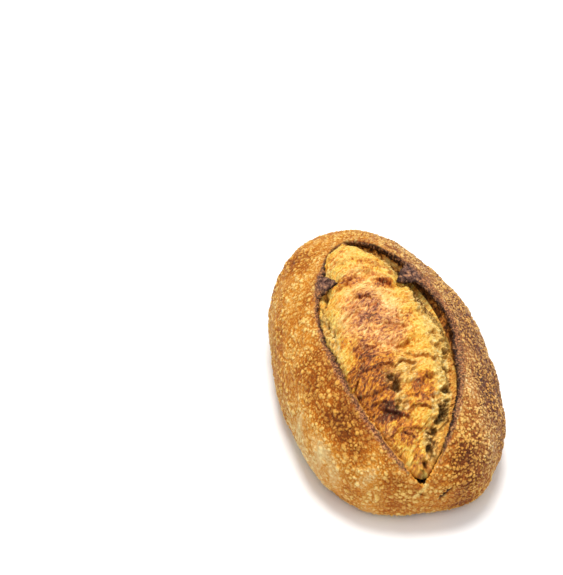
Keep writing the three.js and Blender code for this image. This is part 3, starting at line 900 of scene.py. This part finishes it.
def raise_blisters(piece, height):
    """Lifts the crust's mesh by its blisters, and keeps the result in the mesh."""
    tree = bpy.data.node_groups.new("blisters", "GeometryNodeTree")
    for way in ("INPUT", "OUTPUT"):
        tree.interface.new_socket("Geometry", in_out=way, socket_type="NodeSocketGeometry")
    nodes = Nodes(tree)
    start, end = nodes.add("NodeGroupInput"), nodes.add("NodeGroupOutput")
    rest = nodes.add("GeometryNodeInputNamedAttribute", {"Name": "rest"}, data_type="FLOAT_VECTOR")
    weight = nodes.add("GeometryNodeInputNamedAttribute", {"Name": "blistered"}, data_type="FLOAT")
    lift = nodes.times(nodes.times(blisters(nodes, rest.outputs[0]), weight.outputs[0]), height * MM)
    normal = nodes.add("GeometryNodeInputNormal").outputs[0]
    offset = nodes.vector("SCALE", {0: normal, 3: lift})
    moved = nodes.add("GeometryNodeSetPosition", {"Geometry": start.outputs[0], "Offset": offset})
    tree.links.new(moved.outputs[0], end.inputs[0])
    piece.modifiers.new("blisters", "NODES").node_group = tree
    graph = bpy.context.evaluated_depsgraph_get()
    mesh = bpy.data.meshes.new_from_object(piece.evaluated_get(graph))
    piece.modifiers.clear()
    piece.data = mesh


def palette(places, *shades):
    """Shades, each with its place from 0 to 1."""
    return list(zip(places, shades))


BAKED = (0, 0.25, 0.5, 0.75, 1)  # places from pale to dark
WARM_CRUST = palette(BAKED, (236, 202, 138), (216, 142, 44), (176, 95, 20), (124, 60, 12), (80, 40, 16))
COOL_CRUST = palette(BAKED, (224, 188, 136), (190, 126, 64), (134, 78, 46), (90, 52, 42), (56, 36, 36))
WARM_TOPS = palette(BAKED, (250, 226, 160), (248, 206, 112), (234, 174, 78), (212, 142, 54), (168, 96, 34))
COOL_TOPS = palette(BAKED, (246, 220, 168), (250, 202, 120), (240, 178, 92), (208, 144, 72), (156, 100, 60))
BURNT_BAND = palette((0.38, 0.47, 0.54, 0.64), (56, 34, 28), (108, 66, 50), (156, 100, 68), (224, 156, 94))
BURNT_TONGUE = palette((0.36, 0.45, 0.54, 0.66), (46, 28, 24), (92, 60, 48), (142, 102, 84), (196, 140, 92))
EAR_WALL = palette((0.41, 0.52, 0.62, 0.74), (62, 36, 20), (132, 80, 36), (204, 132, 58), (246, 192, 106))
FAR_WALL = palette((0.44, 0.53, 0.61, 0.73), (44, 26, 16), (132, 78, 30), (216, 142, 58), (244, 202, 116))
FLOURED_SOLE = palette((0.3, 0.5, 0.7), (150, 92, 46), (190, 132, 74), (216, 172, 116))
CHARRED = (46, 27, 20)
GILT = (250, 176, 66)
PALE_CRACK = (255, 216, 130)
DARK_CRACK = (74, 40, 22)
CRUST_MOTTLES = [(1.1, 0.9), (2.2, 0.8), (9, 0.5)]  # size, amount


def crust_material():
    material, nodes, shader = new_material("baked_crust")
    rest = nodes.read("rest", "Vector")
    height = blisters(nodes, rest)
    tone, cool = nodes.read("tone"), nodes.read("cool")
    uneven = nodes.times(nodes.step(tone, 0.05, 0.4, 0.4, 1), nodes.step(cool, 0, 1, 0.7, 1))
    for size, amount in CRUST_MOTTLES:
        tone = nodes.mottle(tone, rest, size, 0.6, nodes.times(uneven, amount))
    darker, lighter = nodes.plus(tone, 0.04), nodes.less(tone, 0.06)
    network = nodes.blend(cool, nodes.colours(darker, WARM_CRUST), nodes.colours(darker, COOL_CRUST))
    tops = nodes.blend(cool, nodes.colours(lighter, WARM_TOPS), nodes.colours(lighter, COOL_TOPS))
    shade = nodes.blend(height, network, tops)

    char = nodes.noise(rest, 2.6, 4, 0.65)
    fray = nodes.times(nodes.less(char, 0.5), 7)
    band = nodes.step(nodes.plus(nodes.read("band"), fray), -0.4, 0.8)
    scorch = nodes.noise(rest, 1.3, 3, 0.65)
    shade = nodes.blend(nodes.times(band, 0.85), shade, nodes.colours(scorch, BURNT_BAND))
    shade = nodes.lay("tongue", shade, nodes.colours(char, BURNT_TONGUE))
    burnt = nodes.times(nodes.read("burnt"), nodes.step(char, 0.66, 0.44, 0.35, 1))
    shade = nodes.blend(burnt, shade, colour(*CHARRED))
    gilt = nodes.times(nodes.read("gilt"), nodes.step(char, 0.3, 0.5, 0.4, 1))
    shade = nodes.blend(gilt, shade, colour(*GILT))
    shade = nodes.lay("pale_crack", shade, colour(*PALE_CRACK))
    shade = nodes.lay("dark_crack", shade, colour(*DARK_CRACK))

    stains = nodes.noise(rest, 4, 4, 0.65)
    sunk = nodes.plus(nodes.less(stains, 0.4), nodes.times(nodes.read("depth"), 0.54))
    wall = nodes.lay("far", nodes.colours(stains, EAR_WALL), nodes.colours(sunk, FAR_WALL))
    shade = nodes.lay("wall", shade, wall)
    sole = nodes.colours(nodes.noise(rest, 14, 4, 0.6), FLOURED_SOLE)
    shade = nodes.lay("sole", shade, sole)

    relief = nodes.plus(nodes.times(height, 0.45), nodes.times(nodes.noise(rest, 0.9, 2, 0.6), 0.25))
    rough, bump = nodes.step(height, 0, 1, 0.6, 0.4), nodes.bump(relief, MM)
    looks = {"Base Color": shade, "Roughness": rough, "Normal": bump, "Specular IOR Level": 0.12}
    nodes.feed(shader, looks)
    return material


TOASTED = (0.1, 0.28, 0.42, 0.56, 0.72, 0.92)  # places from pale to toasted
TORN_SKIN = palette(
    TOASTED, (255, 232, 130), (252, 208, 82), (246, 172, 56), (230, 144, 56), (178, 102, 46), (112, 60, 34)
)
ROSY_SKIN = palette(
    TOASTED, (255, 236, 172), (252, 208, 132), (244, 180, 112), (218, 150, 104), (168, 106, 82), (110, 68, 60)
)
# the skin's dark threads, and the painted shade in its creases, fine cavities and broken flake edges
DARK_LINES_AND_CREASE_SHADE = palette(BAKED, (252, 164, 36), (224, 120, 24), (170, 84, 26), (112, 56, 34), (64, 36, 28))
PALE_CRUMB = palette(
    (0.34, 0.44, 0.54, 0.66), (170, 108, 42), (236, 174, 78), (252, 218, 128), (255, 240, 190)
)
# the crumb's shades under painted shadow
SHADED_CRUMB = palette(
    (0.38, 0.48, 0.56, 0.66), (56, 36, 18), (146, 100, 48), (226, 174, 98), (255, 228, 160)
)
STRAND = palette((0.36, 0.48, 0.62), (130, 68, 26), (206, 126, 44), (252, 196, 88))
# painted shade in the bottoms of the crumb's hollows
HOLLOW_SHADE = (146, 98, 40)
# painted shadow inside the deep holes
PIT_SHADE = (66, 46, 22)
GLINT = (255, 236, 150)
LOW_PLACE_SHADE = (0.86, 0.62, 0.36, 1)  # painted shade: what the bloom's colour is multiplied by in its low places, darker and warmer where shade falls
# painted shade on the bloom's steep faces
STEEP_FACE_SHADE = (0.95, 0.72, 0.42, 1)
# at the torn sheets' broken edges: partly their toasted edge, partly painted shadow under the sheet
TEAR_EDGE_SHADE = (0.52, 0.34, 0.22, 1)
GRAIN_STRETCH = (1, 1.7, 1)


def bloom_material():
    material, nodes, shader = new_material("torn_bloom")
    flow = nodes.read("rest", "Vector")
    grain = nodes.vector("MULTIPLY", {0: flow, 1: GRAIN_STRETCH})
    toast = nodes.plus(nodes.read("toast"), 0.18)
    for place, size, amount in ((grain, 1.7, 1.6), (flow, 2.8, 0.9), (flow, 7, 0.6)):
        toast = nodes.mottle(toast, place, size, 0.65, amount)
    toast = nodes.plus(toast, nodes.times(nodes.read("raised_wide"), 0.02))
    chips = nodes.add("ShaderNodeTexVoronoi", {"Vector": grain, "Scale": 1 / 2.4, "Randomness": 1})
    chip = nodes.add("ShaderNodeSeparateXYZ", {0: chips.outputs["Color"]}).outputs[0]
    toast = nodes.plus(toast, nodes.times(nodes.less(chip, 0.5), 0.25))

    squiggles, hairs = nodes.threads(flow, 2.2, 4, 0.7), nodes.threads(grain, 2.1, 3, 0.6)
    lines = nodes.higher(nodes.step(squiggles, 0.04, 0, 0, 0.45), nodes.step(hairs, 0.04, 0, 0, 0.6))
    # Fine cavities, creases and broken flake edges are darkened as painted shade; the squiggles and hairs are
    # random dark threads.
    lines = nodes.higher(lines, nodes.step(nodes.read("cavity"), 0.02, -0.4, 0, 0.6))
    lines = nodes.higher(lines, nodes.read("crease"))
    rosy = nodes.read("rosy")
    torn = nodes.blend(rosy, nodes.colours(toast, TORN_SKIN), nodes.colours(toast, ROSY_SKIN))
    torn = nodes.blend(lines, torn, nodes.colours(toast, DARK_LINES_AND_CREASE_SHADE))

    strands = nodes.noise(flow, 1.6, 4, 0.7)
    # The hollows between the strands get painted shade.
    hollow = nodes.times(nodes.read("hollow"), 0.7)
    crumb = nodes.blend(hollow, nodes.colours(strands, PALE_CRUMB), colour(*HOLLOW_SHADE))
    shade = nodes.blend(nodes.times(nodes.read("crumb"), 0.8), torn, crumb)
    # Painted shadow darkens the crumb in these patches.
    painted_shadow = nodes.times(nodes.read("painted_shadow"), nodes.step(strands, 0.64, 0.5, 0.2, 1))
    shade = nodes.blend(painted_shadow, shade, nodes.colours(strands, SHADED_CRUMB))
    # The low places get painted shade.
    low = nodes.step(nodes.read("raised"), -0.2, -1.8, 0, 0.4)
    shade = nodes.blend(low, shade, LOW_PLACE_SHADE, "MULTIPLY")
    # Steep faces get painted shade, a darker, warmer hue.
    steep = nodes.step(nodes.read("steep"), 0.3, 1.3, 0, 0.25)
    shade = nodes.blend(steep, shade, STEEP_FACE_SHADE, "MULTIPLY")
    shade = nodes.lay("foot", shade, nodes.colours(strands, FAR_WALL))
    strand = nodes.times(nodes.read("strand"), 0.85)
    shade = nodes.blend(strand, shade, nodes.colours(strands, STRAND))
    # The broken edges of torn sheets are darkened: toasted edge and painted shadow under it.
    shade = nodes.lay("tear", shade, TEAR_EDGE_SHADE, "MULTIPLY")
    # The deep holes are filled with painted shadow.
    shade = nodes.blend(nodes.times(nodes.read("pit"), 0.8), shade, colour(*PIT_SHADE))
    glint = nodes.step(nodes.noise(grain, 1.1, 2, 0.6), 0.58, 0.7, 0, 0.35)
    shade = nodes.blend(glint, shade, colour(*GLINT))

    relief = nodes.plus(nodes.noise(grain, 1.0, 4, 0.7), nodes.times(nodes.plus(squiggles, hairs), 2))
    bump = nodes.bump(relief, 0.8 * MM)
    looks = {"Base Color": shade, "Roughness": 0.5, "Normal": bump, "Specular IOR Level": 0.15}
    nodes.feed(shader, looks)
    return material


# ---- Stage ----
FLOOR_SIZE = 12  # metres
FLOOR_SHADE = (0.9, 0.9, 0.9, 1)
SURROUND = 0.38  # the strength of the white light from all round
LIGHTS = [  # name, azimuth, elevation, distance and size in metres, power in watts
    ("key", 276, 84, 1.6, 0.6, 25),
    ("fill", 78, 60, 1.6, 1.4, 10.5),
]


def direction(azimuth, elevation):
    """The way from the loaf at an azimuth, from -Y towards +X, and an elevation."""
    a, e = math.radians(azimuth), math.radians(elevation)
    return Vector((math.sin(a) * math.cos(e), -math.cos(a) * math.cos(e), math.sin(e)))


def add_facing(name, data, back, location):
    """Adds a camera or a lamp that faces away from the direction back."""
    thing = add_object(name, data)
    thing.location = location
    thing.rotation_euler = back.to_track_quat("Z", "Y").to_euler()
    return thing


def add_camera():
    data = bpy.data.cameras.new("camera")
    data.angle = math.radians(VIEW_FIELD)
    data.clip_end = 20
    back = direction(VIEW_AZIMUTH, VIEW_ELEVATION)
    location = (Vector(VIEW_TARGET) + back * VIEW_DISTANCE) * MM
    bpy.context.scene.camera = add_facing("camera", data, back, location)


def add_stage():
    bpy.ops.mesh.primitive_plane_add(size=FLOOR_SIZE)
    floor = bpy.context.object
    floor.name = "floor"
    material, nodes, shader = new_material("pale_floor")
    nodes.feed(shader, {"Base Color": FLOOR_SHADE, "Roughness": 0.9})
    floor.data.materials.append(material)
    world = bpy.data.worlds.new("studio")
    world.use_nodes = True
    tree = world.node_tree
    Nodes(tree).feed(tree.nodes["Background"], {"Color": (1, 1, 1, 1), "Strength": SURROUND})
    bpy.context.scene.world = world
    bpy.context.scene.view_settings.view_transform = "Standard"
    for name, azimuth, elevation, distance, size, power in LIGHTS:
        data = bpy.data.lights.new(name, "AREA")
        data.shape = "DISK"
        data.size = size
        data.energy = power
        back = direction(azimuth, elevation)
        add_facing(name, data, back, back * distance)


# ---- The loaf ----
def plan_shift():
    """From the form's own origin to the frame's, where the loaf's box is centred."""
    angle = np.arange(AROUND) * 2 * math.pi / AROUND
    form = refine(crust_profile(angle), RING_STEPS)
    low, high = (np.array(corner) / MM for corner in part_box("loaf"))
    middle = (form.min((0, 1)) + form.max((0, 1))) / 2 - (low + high) / 2
    return np.array([middle[0], middle[1], 0])


add_camera()
add_stage()
shift = plan_shift()
crust = crust_piece(shift)
raise_blisters(crust, BLISTER_HEIGHT)
crust.data.materials.append(crust_material())
bloom = bloom_piece(shift)
bloom.data.materials.append(bloom_material())
for piece, slot in ((crust, "crust"), (bloom, "bloom")):
    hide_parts("loaf")
    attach(piece, "root")
